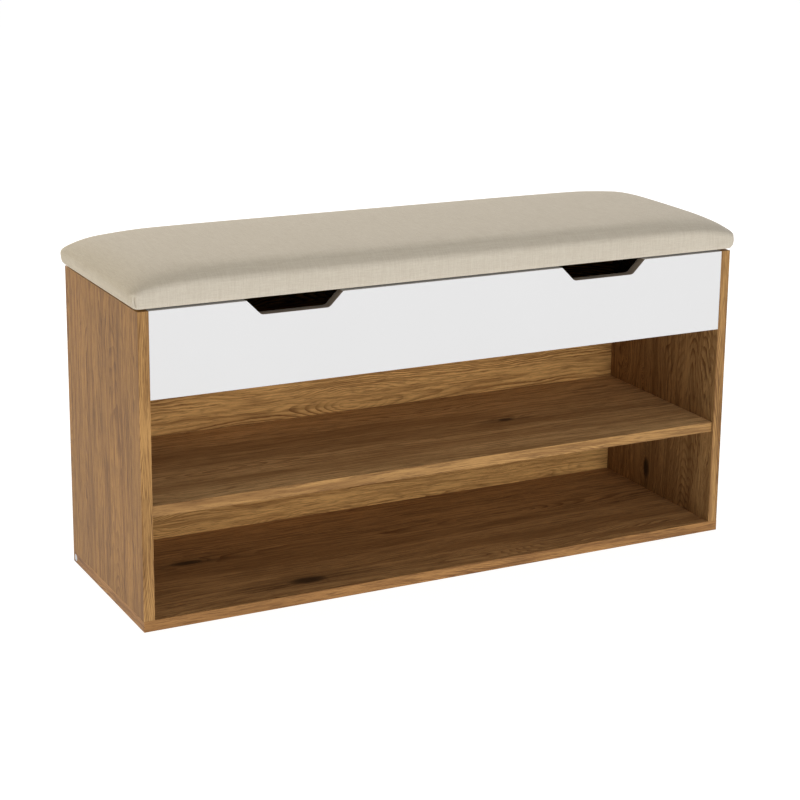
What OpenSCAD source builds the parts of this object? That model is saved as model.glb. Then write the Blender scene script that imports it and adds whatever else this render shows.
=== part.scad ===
// Entryway storage bench: a wood-grain carcass with two open bays, a white front panel with finger notches,
// and an upholstered seat that lifts as a lid on two butt hinges and two folding stays.
// Millimetres. X runs along the bench (centred), Y from the front to the rear (centred on the carcass),
// Z up from the floor.

/* [Carcass] */
// Overall width of the carcass
body_w = 900; // [700:10:1200]
// Overall depth of the carcass
body_d = 290; // [250:5:400]
// Height of the carcass, without the seat
body_h = 428; // [380:2:520]
// Thickness of every board of the carcass
board_t = 15; // [13:0.5:18]
// Thickness of the edge bands
band_t = 0.8; // [0.4:0.1:1.5]
// Rounding of the edge bands' corners
band_r = 0.5; // [0.2:0.1:0.7]

/* [Shelf] */
// Height of the shelf's top face above the floor
shelf_z = 170; // [130:5:200]
// How far the shelf sits behind the front edges
shelf_setback = 3; // [1:0.5:20]
// Gap between the shelf and each side panel
shelf_gap = 0.5; // [0.2:0.1:1]
// Diameter of the shelf pins
pin_d = 5; // [4:0.5:7]
// How deep a shelf pin sits in the side panel
pin_in = 8; // [6:0.5:10]
// How far a shelf pin stands out under the shelf
pin_out = 9; // [7:0.5:14]
// Distance of the shelf pins from the shelf's front and rear edges
pin_inset = 37; // [25:1:60]

/* [Front panel] */
// Height of the front panel
front_h = 116; // [90:2:140]
// Width of a finger notch at the top edge
notch_w = 136; // [100:2:150]
// Width of a finger notch at its bottom
notch_low_w = 96; // [60:2:100]
// Depth of a finger notch
notch_h = 20; // [12:1:25]
// Radius of a finger notch's lower corners
notch_r = 9; // [4:0.5:10]
// Distance of each notch's centre from the middle of the bench
notch_x = 235; // [160:5:260]

/* [Back] */
// Thickness of the back panel
back_t = 3; // [2.5:0.5:4]
// Distance from the back panel's rear face to the rear edge
back_inset = 4.5; // [4:0.5:8]
// Depth of the grooves that hold the back panel
groove_depth = 5; // [4:0.5:6]
// Clearance of the back panel in its grooves, on each face
groove_gap = 0.2; // [0.1:0.05:0.4]
// Height of the rear rail
rail_h = 60; // [50:2:80]

/* [Fittings] */
// Diameter of the cam locks
cam_d = 15; // [12:0.5:16]
// Depth of the cam lock bores
cam_depth = 12.5; // [10:0.5:12.5]
// Distance from a panel's end to the middle of its cam lock
cam_reach = 24; // [20:1:34]
// Diameter of the bore that leads to a cam lock
cam_neck_d = 8; // [7:0.5:9]
// Diameter of a cam bolt's neck
cam_bolt_d = 6; // [5:0.5:6.5]
// Diameter of a cam bolt's thread in the side panel
cam_thread_d = 5; // [4:0.5:5]
// Diameter of the wood dowels
dowel_d = 8; // [6:0.5:8]
// Depth of a dowel in a panel's face
dowel_face = 10; // [8:0.5:11]
// Depth of a dowel in a panel's edge
dowel_edge = 20; // [15:1:25]
// Diameter of the screws that hold the bottom panel
bottom_screw_d = 6.4; // [5:0.2:7]
// Head diameter of the screws that hold the bottom panel
bottom_screw_head_d = 10; // [9:0.5:11]
// Length of the screws that hold the bottom panel
bottom_screw_len = 50; // [40:1:60]
// Diameter of the slotted fittings in the bottom panel's ends
plug_d = 10; // [6:0.5:10]
// Length of the slotted fittings
plug_len = 8.5; // [6:0.5:8.5]

/* [Seat] */
// Overhang of the seat beyond each side panel
seat_side_over = 4; // [0:0.5:10]
// Overhang of the seat beyond the front
seat_front_over = 2; // [0:0.5:10]
// Gap between the carcass and the seat's underside
seat_gap = 3; // [2.5:0.1:5]
// Thickness of the seat board
seat_board_t = 12; // [10:0.5:15]
// Height of the foam pad above the seat board
foam_h = 34; // [25:1:60]
// Thickness of the fabric
fabric_t = 1; // [0.8:0.1:1.5]
// Radius of the pad's front and rear shoulders
shoulder_r = 20; // [10:1:26]
// Radius of the pad's upright corners
seat_corner_r = 8; // [4:1:12]
// How much lower the pad is at its ends than in the middle
end_drop = 20; // [8:1:24]
// Length of the sloping stretch at each end of the pad
end_run = 110; // [60:5:200]
// Width of the fabric hem under the seat board
hem_w = 30; // [20:1:45]
// Distance between the staples
staple_pitch = 45; // [30:1:80]

/* [Hinges] */
// Distance of each hinge's middle from the middle of the bench
hinge_x = 300; // [200:5:320]
// Width of a hinge
hinge_w = 50; // [40:1:70]
// Length of a hinge leaf from the pin
leaf_len = 30; // [24:1:40]
// Thickness of a hinge leaf
leaf_t = 1.2; // [1:0.1:1.6]
// Diameter of the hinge pin
hinge_pin_d = 3; // [2.5:0.1:3.4]
// Radial clearance of the hinge pin and of the stays' rivets
pivot_gap = 0.05; // [0.02:0.01:0.1]

/* [Stays] */
// Distance from the hinge pin forward to a stay's upper pivot
stay_reach = 110; // [90:1:120]
// Distance from the hinge pin forward to a stay's lower pivot
stay_low_y = 30; // [26:1:40]
// Distance from the hinge pin down to a stay's lower pivot
stay_low_z = 70; // [50:1:80]
// Width of a stay's arms
arm_w = 12; // [10:0.5:14]
// Width of a stay's arms between their round ends
arm_mid_w = 9; // [7:0.5:9.5]
// Thickness of a stay's arms and brackets
arm_t = 1.5; // [1:0.1:2]
// Gap between the layers of a stay
layer_gap = 0.3; // [0.2:0.05:0.5]
// Diameter of the rivets
rivet_d = 5; // [4:0.5:6]

/* [Small screws] */
// Diameter of the small screws
screw_d = 3.5; // [3:0.1:4]
// Head diameter of the small screws
screw_head_d = 6.4; // [6:0.2:8]
// Length of the small screws
screw_len = 11.5; // [9:0.5:12]

/* [Hidden] */

$fn = 48;
eps = 0.01;                 // overlap of joined shapes
over = 1;                   // a through cut runs this far past both faces

wood_outer = [0.57, 0.44, 0.30];
wood_inner = [0.45, 0.33, 0.20];
wood_edge = [0.69, 0.52, 0.33];
white = [0.90, 0.90, 0.91];
cloth = [0.76, 0.73, 0.67];
foam_grey = [0.85, 0.84, 0.78];
ply = [0.75, 0.62, 0.44];
lining_black = [0.14, 0.14, 0.15];
zinc = [0.72, 0.73, 0.75];
beech = [0.80, 0.66, 0.46];
rubber_grey = [0.25, 0.25, 0.26];

half_w = body_w / 2;
half_d = body_d / 2;
front_y = -half_d;
rear_y = half_d;
inner_x = half_w - board_t;             // inner face of a side panel

// back panel and its grooves
back_y1 = rear_y - back_inset;
back_y0 = back_y1 - back_t;
groove_end_gap = 0.4;                   // the side and top grooves are this much deeper than the panel
rail_z0 = body_h - rail_h;
rail_y0 = rear_y - board_t;

// shelf and compartment floor
shelf_y0 = front_y + shelf_setback;
shelf_y1 = back_y0 - shelf_gap;
shelf_half = inner_x - shelf_gap;
front_z0 = body_h - front_h;
floor_y0 = front_y + board_t;

// cam joints
floor_cam_inset = 45;
floor_cam_y = [floor_y0 + floor_cam_inset, shelf_y1 - floor_cam_inset];
front_cam_z = front_z0 + 0.55 * front_h;
rail_cam_z = rail_z0 + rail_h / 2;
cam_head_d = cam_neck_d - 1;
cam_gap = 0.5;                          // play of a cam lock's body in its bore's depth
cam_thread_len = board_t - 4;
cam_slot_w = 2;
cam_slot_depth = 2;
cam_drive_w = 0.55 * cam_d;
cam_collar_t = 2;
cam_head_len = 3;

// dowels
side_dowel_front = 50;
side_dowel_rear = 60;
side_dowel_y = [front_y + side_dowel_front, 0, rear_y - side_dowel_rear];
front_dowel_shares = [-0.7, -0.25, 0.25, 0.7];
front_dowel_x = [for (share = front_dowel_shares) share * inner_x];
front_dowel_z = front_z0 + board_t / 2;
front_side_dowel_z = front_z0 + 0.78 * front_h;
rail_side_dowel_z = rail_z0 + 0.8 * rail_h;
dowel_chamfer = 1;

// screws of the bottom panel
bottom_screw_front = 30;
bottom_screw_rear = 35;
bottom_screw_y = [front_y + bottom_screw_front, rear_y - bottom_screw_rear];
bottom_screw_tip = 4;
bottom_screw_point_d = 2;
hex_depth = 3;
hex_d = 0.45 * bottom_screw_head_d;
screw_sink = 0.5;                       // depth of the screw heads below the panel's underside
head_cone = (bottom_screw_head_d - bottom_screw_d) / 2;

// small screws
screw_tip = 2;
screw_point_d = 0.6;
recess_w = 0.5 * screw_head_d;
recess_arm = 0.22;                      // width of a cross recess's arms, as a share of its length
recess_depth = 0.7;                     // depth of a small screw's recess, as a share of its head

// slotted end fittings
plug_inset = 9;
plug_y = rear_y - plug_inset;
plug_slot_w = 1.6;
plug_slot_depth = 1.2;

// seat
under_z = body_h + seat_gap;            // underside of the fabric
board_z0 = under_z + fabric_t;
board_z1 = board_z0 + seat_board_t;
foam_z1 = board_z1 + foam_h;
seat_x = half_w + seat_side_over;       // outer faces of the fabric
seat_y0 = front_y - seat_front_over;
seat_y1 = rear_y;
seat_top = foam_z1 + fabric_t;
cover_clear = 0.2;                      // between the fabric and what it wraps
wrap = fabric_t + cover_clear;
end_mid = 1 / 3;                        // where the pad's end slope steepens, as a share of its length
end_mid_drop = 0.36;                    // the drop there, as a share of the whole drop

// hinge
pin_r = hinge_pin_d / 2;
knuckle_r = pin_r + leaf_t;
pin_y = rear_y + knuckle_r + layer_gap;
pin_z = under_z - knuckle_r;
knuckle_gap = 0.1;
knuckle_root = 1;                       // how far a leaf runs past its knuckle's lowest point
pin_head_d = knuckle_r * 1.7;
pin_head_t = 0.8;
hinge_screw_dx = hinge_w * 0.3;
leaf_screw_at = leaf_len * 0.72;        // distance of the leaf's screws from the pin

// stays
stay_up_y = pin_y - stay_reach;
stay_up_drop = 4;                       // from the flange's underside to the round end of the arm
stay_up_z = under_z - arm_w / 2 - stay_up_drop;
stay_down_y = pin_y - stay_low_y;
stay_down_z = pin_z - stay_low_z;
elbow_y = stay_up_y - stay_low_y;
elbow_z = stay_up_z - stay_low_z;
layer = arm_t + layer_gap;              // spacing of the stay's layers, from the side panel inwards
rivet_head_d = rivet_d * 1.6;
rivet_head_t = 1.2;
open_pivot_gap = 0.3;
stay_plate_w = 34;
stay_plate_gap = 1;                     // least gap between a side bracket and the compartment floor
stay_plate_room = stay_down_z - front_z0 - board_t - stay_plate_gap;
stay_plate_h = min(30, stay_plate_room);
stay_flange_w = 20;
stay_flange_len = 34;
stay_plate_ahead = 0.75;                // share of the side bracket's plate in front of its pivot
stay_plate_foot = 0.75;                 // share of the side bracket's height that is full width
stay_screw_drop = 0.55;                 // height of the side bracket's screws, as a share of its height
stay_screw_dy = stay_plate_w / 3;
stay_screw_y = stay_down_y - stay_plate_w / 4;
flange_screw_at = 0.55;                 // place of the lid bracket's screws across its flange
flange_screw_dy = 0.28 * stay_flange_len;

bumper_d = 10;
bumper_gap = 0.05;
bumper_dy = 25;
staple_w = 10;
staple_t = 0.6;
staple_crown = 1.2;
staple_leg = 6;
staple_inset = 14;
staple_end_inset = hem_w - 3;           // the staples at the ends clear the side panels

// ---- shared shapes ----

// a box given by its lowest and highest corners
module block(lo, hi) {
    translate(lo) cube(hi - lo);
}

// a right-hand copy of what is modelled on the left
module mirrored() {
    mirror([1, 0, 0]) children();
}

// what is modelled on the left, on both sides
module both_sides() {
    children();
    mirror([1, 0, 0]) children();
}

// a cylinder along x from x0 to x1
module rod_x(x0, x1, y, z, d) {
    translate([x0, y, z]) rotate([0, 90, 0]) cylinder(h = x1 - x0, d = d);
}

// a cylinder along z from z0 to z1
module rod_z(x, y, z0, z1, d) {
    translate([x, y, z0]) cylinder(h = z1 - z0, d = d);
}

// outline of an edge band: flat against the board at y = 0, rounded at its outer corners
module band_outline(w) {
    r = min(band_r, band_t / 2);
    translate([r, -band_t]) square([w - 2 * r, band_t]);
    translate([0, -band_t + r]) square([w, band_t - r]);
    translate([r, -band_t + r]) circle(r = r);
    translate([w - r, -band_t + r]) circle(r = r);
}

// an edge band along z, its width along x, facing -y
module band_upright(x0, w, y, z0, z1) {
    translate([x0, y, z0]) linear_extrude(z1 - z0) band_outline(w);
}

// an edge band along x, its width along z, facing -y
module band_along_x(x0, x1, y, z0, w) {
    translate([x0, y, z0]) rotate([90, 0, 90]) linear_extrude(x1 - x0) mirror([1, 0]) rotate(90)
        band_outline(w);
}

// a wood dowel with chamfered ends, along z from 0
module dowel(len) {
    cylinder(h = dowel_chamfer, d1 = dowel_d - 2 * dowel_chamfer, d2 = dowel_d);
    translate([0, 0, dowel_chamfer]) cylinder(h = len - 2 * dowel_chamfer, d = dowel_d);
    translate([0, 0, len - dowel_chamfer])
        cylinder(h = dowel_chamfer, d1 = dowel_d, d2 = dowel_d - 2 * dowel_chamfer);
}

// a countersunk screw: head face at z = 0, point along -z
module small_screw(head_t) {
    difference() {
        union() {
            translate([0, 0, -head_t]) cylinder(h = head_t, d1 = screw_d, d2 = screw_head_d);
            translate([0, 0, screw_tip - screw_len])
                cylinder(h = screw_len - screw_tip - head_t + eps, d = screw_d);
            translate([0, 0, -screw_len]) cylinder(h = screw_tip + eps, d1 = screw_point_d, d2 = screw_d);
        }
        cross_recess(recess_w, head_t * recess_depth);
    }
}

// a cross recess cut down from z = 0
module cross_recess(len, depth) {
    arm = len * recess_arm;
    for (turn = [0, 90]) {
        rotate([0, 0, turn]) translate([-len / 2, -arm / 2, -depth]) cube([len, arm, depth + over]);
    }
}

// the hole for a small screw: through a plate of thickness plate_t, and on into the wood
module small_screw_hole(plate_t) {
    translate([0, 0, -plate_t]) cylinder(h = plate_t, d1 = screw_d, d2 = screw_head_d);
    cylinder(h = over, d = screw_head_d);
    translate([0, 0, -screw_len]) cylinder(h = screw_len, d = screw_d);
}

// ---- places of the fittings, each on the left side ----

// children stand at each cam lock: origin on the bored face, bore along -z, panel end towards -x
module at_cams() {
    for (y = floor_cam_y) {
        translate([-inner_x + cam_reach, y, front_z0]) rotate([180, 0, 0]) children();
    }
    translate([-inner_x + cam_reach, floor_y0, front_cam_z]) rotate([-90, 0, 0]) children();
    translate([-inner_x + cam_reach, rail_y0, rail_cam_z]) rotate([90, 0, 0]) children();
}

module cam_lock() {
    body_t = cam_depth - cam_gap;
    difference() {
        translate([0, 0, -body_t]) cylinder(h = body_t, d = cam_d);
        translate([-cam_d, 0, -board_t / 2]) rotate([0, 90, 0])
            cylinder(h = cam_d + cam_head_d / 2 + cam_gap, d = cam_neck_d);
        cross_recess(cam_drive_w, cam_slot_depth);
        translate([0, -cam_slot_w / 2, -cam_slot_depth / 2]) cube([cam_d, cam_slot_w, cam_slot_depth]);
    }
}

// neck, head and thread of a cam bolt that comes out of the side panel's inner face
module cam_bolt() {
    neck_end = -cam_head_len / 2;
    translate([0, 0, -board_t / 2]) rotate([0, 90, 0]) {
        translate([0, 0, -cam_reach - cam_thread_len]) cylinder(h = cam_thread_len, d = cam_thread_d);
        translate([0, 0, -cam_reach]) cylinder(h = cam_collar_t, d = cam_head_d);
        translate([0, 0, -cam_reach]) cylinder(h = cam_reach + neck_end, d = cam_bolt_d);
        translate([0, 0, neck_end]) cylinder(h = cam_head_len, d = cam_head_d);
    }
}

// the bores for a cam lock and its bolt's neck, in the panel that holds the lock
module cam_bores() {
    translate([0, 0, -cam_depth]) cylinder(h = cam_depth + over, d = cam_d);
    translate([-cam_reach - over, 0, -board_t / 2]) rotate([0, 90, 0])
        cylinder(h = over + cam_reach + cam_head_d / 2 + cam_gap, d = cam_neck_d);
}

// the bore for a cam bolt's thread, in the side panel
module cam_thread_bore() {
    translate([-cam_reach - cam_thread_len, 0, -board_t / 2]) rotate([0, 90, 0])
        cylinder(h = cam_thread_len + over, d = cam_thread_d);
}

// children stand at each dowel, which runs along z from 0 to dowel_face + dowel_edge
module at_dowels() {
    for (y = side_dowel_y) {
        translate([-half_w + board_t / 2, y, board_t - dowel_face]) children();
    }
    translate([-inner_x - dowel_face, front_y + board_t / 2, front_side_dowel_z])
        rotate([0, 90, 0]) children();
    translate([-inner_x - dowel_face, rear_y - board_t / 2, rail_side_dowel_z])
        rotate([0, 90, 0]) children();
}

module at_front_dowels() {
    for (x = front_dowel_x) {
        translate([x, floor_y0 - dowel_face, front_dowel_z]) rotate([-90, 0, 0]) children();
    }
}

module dowel_bores() {
    len = dowel_face + dowel_edge;
    at_dowels() cylinder(h = len, d = dowel_d);
    at_front_dowels() cylinder(h = len, d = dowel_d);
}

// children stand at each screw of the bottom panel, head face down at z = 0
module at_bottom_screws() {
    for (y = bottom_screw_y) {
        translate([-half_w + board_t / 2, y, 0]) children();
    }
}

module bottom_screw() {
    tip = bottom_screw_tip;
    translate([0, 0, screw_sink]) difference() {
        union() {
            cylinder(h = head_cone, d1 = bottom_screw_head_d, d2 = bottom_screw_d);
            cylinder(h = bottom_screw_len - tip, d = bottom_screw_d);
            translate([0, 0, bottom_screw_len - tip])
                cylinder(h = tip, d1 = bottom_screw_d, d2 = bottom_screw_point_d);
        }
        // hexagon socket
        translate([0, 0, -over]) cylinder(h = over + hex_depth, d = hex_d, $fn = 6);
    }
}

module bottom_screw_bore() {
    translate([0, 0, -over]) cylinder(h = over + screw_sink, d = bottom_screw_head_d);
    translate([0, 0, screw_sink]) cylinder(h = head_cone, d1 = bottom_screw_head_d, d2 = bottom_screw_d);
    cylinder(h = screw_sink + bottom_screw_len, d = bottom_screw_d);
}

module at_shelf_pins() {
    for (y = [shelf_y0 + pin_inset, shelf_y1 - pin_inset]) {
        translate([-inner_x, y, shelf_z - board_t - pin_d / 2]) rotate([0, 90, 0]) children();
    }
}

// the groove's space for the back panel, in the bottom panel, the sides and the rail
module back_groove() {
    reach = groove_depth + groove_end_gap;
    block([-inner_x - reach, back_y0 - groove_gap, board_t - reach],
          [inner_x + reach, back_y1 + groove_gap, rail_z0 + reach]);
}

module at_plug() {
    translate([-half_w, plug_y, board_t / 2]) rotate([0, 90, 0]) children();
}

// ---- carcass ----

module bottom_panel() {
    color(wood_inner) difference() {
        block([-half_w + band_t, front_y + band_t, 0], [half_w - band_t, rear_y, board_t]);
        back_groove();
        both_sides() at_bottom_screws() bottom_screw_bore();
        both_sides() dowel_bores();
        both_sides() at_plug() cylinder(h = plug_len, d = plug_d);
    }
}

module bottom_edge_bands() {
    color(wood_edge) {
        band_along_x(-half_w + band_t, half_w - band_t, front_y + band_t, 0, board_t);
        both_sides() difference() {
            translate([-half_w + band_t, 0, 0]) rotate([0, 0, -90])
                band_along_x(-rear_y, rear_y, 0, 0, board_t);
            at_plug() translate([0, 0, -over]) cylinder(h = plug_len, d = plug_d);
        }
    }
}

module left_side_solid() {
    difference() {
        block([-half_w, front_y + band_t, board_t], [-inner_x, rear_y, body_h - band_t]);
        back_groove();
        dowel_bores();
        at_bottom_screws() bottom_screw_bore();
        at_cams() cam_thread_bore();
        at_shelf_pins() translate([0, 0, -pin_in]) cylinder(h = pin_in + over, d = pin_d);
        at_side_screws() small_screw_hole(arm_t);
    }
}

module left_side_panel() {
    color(wood_outer) left_side_solid();
}

module right_side_panel() {
    color(wood_outer) mirrored() left_side_solid();
}

module left_bands_solid() {
    band_upright(-half_w, board_t, front_y + band_t, board_t, body_h - band_t);
    block([-half_w, front_y, body_h - band_t], [-inner_x, rear_y, body_h]);
}

module left_side_bands() {
    color(wood_edge) left_bands_solid();
}

module right_side_bands() {
    color(wood_edge) mirrored() left_bands_solid();
}

module middle_shelf() {
    color(wood_inner)
        block([-shelf_half, shelf_y0 + band_t, shelf_z - board_t], [shelf_half, shelf_y1, shelf_z]);
}

module shelf_front_band() {
    color(wood_edge)
        band_along_x(-shelf_half, shelf_half, shelf_y0 + band_t, shelf_z - board_t, board_t);
}

module shelf_pins() {
    spade_t = 1.2;
    color(zinc) both_sides() at_shelf_pins() {
        translate([0, 0, -pin_in]) cylinder(h = pin_in + pin_out, d = pin_d);
        translate([-pin_d / 2, -pin_d, shelf_gap]) cube([spade_t, 2 * pin_d, pin_out - shelf_gap]);
    }
}

module compartment_floor() {
    color(wood_inner) difference() {
        block([-inner_x, floor_y0, front_z0], [inner_x, shelf_y1, front_z0 + board_t]);
        both_sides() at_cams() cam_bores();
        dowel_bores();
    }
}

// outline of a finger notch, centred on x = 0, its top at y = 0
module notch_outline() {
    low = notch_low_w / 2;
    top = notch_w / 2;
    slope = atan2(notch_h, top - low);
    reach = notch_r * tan(slope / 2);
    difference() {
        polygon([[-top, 0], [-top, over], [top, over], [top, 0], [low, -notch_h], [-low, -notch_h]]);
        for (side = [-1, 1]) {
            scale([side, 1]) notch_corner(low, slope, reach);
        }
    }
}

// what a lower corner's rounding leaves standing
module notch_corner(low, slope, reach) {
    difference() {
        polygon([
            [low - reach, -notch_h],
            [low, -notch_h],
            [low + reach * cos(slope), -notch_h + reach * sin(slope)]
        ]);
        translate([low - reach, -notch_h + notch_r]) circle(r = notch_r);
    }
}

module front_panel() {
    color(white) difference() {
        block([-inner_x, front_y, front_z0], [inner_x, floor_y0, body_h]);
        for (side = [-1, 1]) {
            translate([side * notch_x, floor_y0 + over, body_h]) rotate([90, 0, 0])
                linear_extrude(board_t + 2 * over) notch_outline();
        }
        both_sides() at_cams() cam_bores();
        both_sides() dowel_bores();
    }
}

module rear_rail() {
    color(wood_inner) difference() {
        block([-inner_x, rail_y0, rail_z0], [inner_x, rear_y, body_h]);
        back_groove();
        both_sides() at_cams() cam_bores();
        both_sides() dowel_bores();
        at_body_leaf_screws() small_screw_hole(leaf_t);
    }
}

module back_panel() {
    color(wood_inner) block([-inner_x - groove_depth, back_y0, board_t - groove_depth - groove_end_gap],
                            [inner_x + groove_depth, back_y1, rail_z0 + groove_depth]);
}

// ---- carcass fittings ----

module cam_locks() {
    color(zinc) both_sides() at_cams() cam_lock();
}

module cam_bolts() {
    color(zinc) both_sides() at_cams() cam_bolt();
}

module dowels() {
    len = dowel_face + dowel_edge;
    color(beech) {
        both_sides() at_dowels() dowel(len);
        at_front_dowels() dowel(len);
    }
}

module bottom_screws() {
    color(zinc) both_sides() at_bottom_screws() bottom_screw();
}

module end_plugs() {
    color(zinc) both_sides() at_plug() difference() {
        cylinder(h = plug_len, d = plug_d);
        translate([-plug_d, -plug_slot_w / 2, -over]) cube([2 * plug_d, plug_slot_w, plug_slot_depth + over]);
    }
}

// ---- hinges: axis along x at pin_y, pin_z ----

// places of a hinge's screws along x
function hinge_screw_x() = [for (side = [-1, 1], dx = [-1, 1]) side * hinge_x + dx * hinge_screw_dx];

module at_body_leaf_screws() {
    for (x = hinge_screw_x()) {
        translate([x, rear_y + leaf_t, pin_z - leaf_screw_at]) rotate([-90, 0, 0]) children();
    }
}

module at_lid_leaf_screws() {
    for (x = hinge_screw_x()) {
        translate([x, pin_y - leaf_screw_at, under_z - leaf_t]) rotate([180, 0, 0]) children();
    }
}

third = hinge_w / 3;

// a knuckle from x0 to x1, with its bore
module knuckle(x0, x1) {
    difference() {
        rod_x(x0, x1, pin_y, pin_z, 2 * knuckle_r);
        rod_x(x0 - over, x1 + over, pin_y, pin_z, 2 * (pin_r + pivot_gap));
    }
}

// the leaf on the rail's rear face, centred on x = 0: two outer knuckles
module body_leaf() {
    half = hinge_w / 2;
    mid = third / 2;
    difference() {
        union() {
            block([-half, rear_y, pin_z - leaf_len], [half, rear_y + leaf_t, pin_z - knuckle_r - layer_gap]);
            for (side = [-1, 1]) {
                x0 = side < 0 ? -half : mid;
                rod_x(x0, x0 + half - mid, pin_y, pin_z, 2 * knuckle_r);
                block([x0, rear_y, pin_z - knuckle_r - knuckle_root],
                      [x0 + half - mid, rear_y + leaf_t, pin_z]);
            }
        }
        rod_x(-half - over, half + over, pin_y, pin_z, 2 * (pin_r + pivot_gap));
    }
}

// the leaf under the seat, centred on x = 0: one middle knuckle
module lid_leaf() {
    half = hinge_w / 2;
    mid = third / 2 - knuckle_gap;
    difference() {
        union() {
            block([-half, pin_y - leaf_len, under_z - leaf_t],
                  [half, pin_y - knuckle_r - layer_gap, under_z]);
            rod_x(-mid, mid, pin_y, pin_z, 2 * knuckle_r);
            block([-mid, pin_y - knuckle_r - knuckle_root, under_z - leaf_t], [mid, pin_y, under_z]);
        }
        rod_x(-half - over, half + over, pin_y, pin_z, 2 * (pin_r + pivot_gap));
    }
}

module hinge_pin() {
    half = hinge_w / 2;
    rod_x(-half, half, pin_y, pin_z, hinge_pin_d);
    rod_x(-half - pin_head_t, -half, pin_y, pin_z, pin_head_d);
    rod_x(half, half + pin_head_t, pin_y, pin_z, pin_head_d);
}

module body_leaf_at(x) {
    color(zinc) difference() {
        translate([x, 0, 0]) body_leaf();
        at_body_leaf_screws() small_screw_hole(leaf_t);
    }
}

module lid_leaf_at(x) {
    color(zinc) difference() {
        translate([x, 0, 0]) lid_leaf();
        at_lid_leaf_screws() small_screw_hole(leaf_t);
    }
}

module left_hinge_body_leaf() {
    body_leaf_at(-hinge_x);
}

module left_hinge_lid_leaf() {
    lid_leaf_at(-hinge_x);
}

module left_hinge_pin() {
    color(zinc) translate([-hinge_x, 0, 0]) hinge_pin();
}

module right_hinge_body_leaf() {
    body_leaf_at(hinge_x);
}

module right_hinge_lid_leaf() {
    lid_leaf_at(hinge_x);
}

module right_hinge_pin() {
    color(zinc) translate([hinge_x, 0, 0]) hinge_pin();
}

module hinge_body_screws() {
    color(zinc) at_body_leaf_screws() small_screw(leaf_t);
}

module hinge_lid_screws() {
    color(zinc) at_lid_leaf_screws() small_screw(leaf_t);
}

// ---- seat ----

// side view of the pad, shrunk by inset on all sides but the bottom: y along x, z along y
module pad_side_outline(inset, z0) {
    r = shoulder_r - inset;
    y0 = seat_y0 + inset;
    y1 = seat_y1 - inset;
    z1 = seat_top - inset;
    translate([y0, z0]) square([y1 - y0, z1 - r - z0]);
    translate([y0 + r, z0]) square([y1 - y0 - 2 * r, z1 - z0]);
    translate([y0 + r, z1 - r]) circle(r = r);
    translate([y1 - r, z1 - r]) circle(r = r);
}

// front view of the pad, with its sloping ends, shrunk by inset on all sides but the bottom
module pad_front_outline(inset, z0) {
    x = seat_x - inset;
    z1 = seat_top - inset;
    polygon([
        [-x, z0], [x, z0], [x, z1 - end_drop], [x - end_run * end_mid, z1 - end_drop * end_mid_drop],
        [x - end_run, z1], [-x + end_run, z1], [-x + end_run * end_mid, z1 - end_drop * end_mid_drop],
        [-x, z1 - end_drop]
    ]);
}

// plan of the pad, shrunk by inset
module pad_plan(inset) {
    r = seat_corner_r - inset;
    x = seat_x - inset;
    y0 = seat_y0 + inset;
    y1 = seat_y1 - inset;
    translate([-x + r, y0]) square([2 * (x - r), y1 - y0]);
    translate([-x, y0 + r]) square([2 * x, y1 - y0 - 2 * r]);
    for (side = [-1, 1], y = [y0 + r, y1 - r]) {
        translate([side * (x - r), y]) circle(r = r);
    }
}

// the pad's outer form, shrunk by inset, from z0 up
module pad_form(inset, z0) {
    intersection() {
        translate([0, 0, z0]) linear_extrude(seat_top - z0) pad_plan(inset);
        translate([-seat_x, 0, 0]) rotate([90, 0, 90]) linear_extrude(2 * seat_x)
            pad_side_outline(inset, z0);
        translate([0, seat_y1, 0]) rotate([90, 0, 0]) linear_extrude(seat_y1 - seat_y0)
            pad_front_outline(inset, z0);
    }
}

module lid_screw_holes() {
    at_lid_leaf_screws() small_screw_hole(leaf_t);
    both_sides() at_lid_bracket_screws() small_screw_hole(arm_t);
}

module lid_board() {
    color(ply) difference() {
        translate([0, 0, board_z0]) linear_extrude(seat_board_t) pad_plan(wrap);
        lid_screw_holes();
    }
}

module seat_foam() {
    color(foam_grey) intersection() {
        pad_form(wrap, board_z1);
        block([-seat_x, seat_y0, board_z1], [seat_x, seat_y1, seat_top]);
    }
}

module seat_cover() {
    color(cloth) difference() {
        pad_form(0, under_z);
        pad_form(fabric_t, board_z0);
        block([-seat_x + hem_w, seat_y0 + hem_w, under_z - over],
              [seat_x - hem_w, seat_y1 - hem_w, board_z0 + over]);
        lid_screw_holes();
    }
}

module lid_lining() {
    gap = 0.3;
    inset = hem_w + gap;
    color(lining_black) difference() {
        block([-seat_x + inset, seat_y0 + inset, under_z], [seat_x - inset, seat_y1 - inset, board_z0]);
        lid_screw_holes();
    }
}

// one staple: crown along x under the fabric, legs up
module staple() {
    translate([-staple_w / 2, -staple_crown / 2, under_z - staple_t])
        cube([staple_w, staple_crown, staple_t]);
    for (side = [-1, 1]) {
        x = side < 0 ? -staple_w / 2 : staple_w / 2 - staple_t;
        translate([x, -staple_crown / 2, under_z - staple_t]) cube([staple_t, staple_crown, staple_leg]);
    }
}

// evenly spaced places, at about the given pitch, over a run centred on 0
function spaced(run, pitch) =
    let (count = floor(run / pitch))
    [for (i = [0:count]) -run / 2 + i * run / count];

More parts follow.
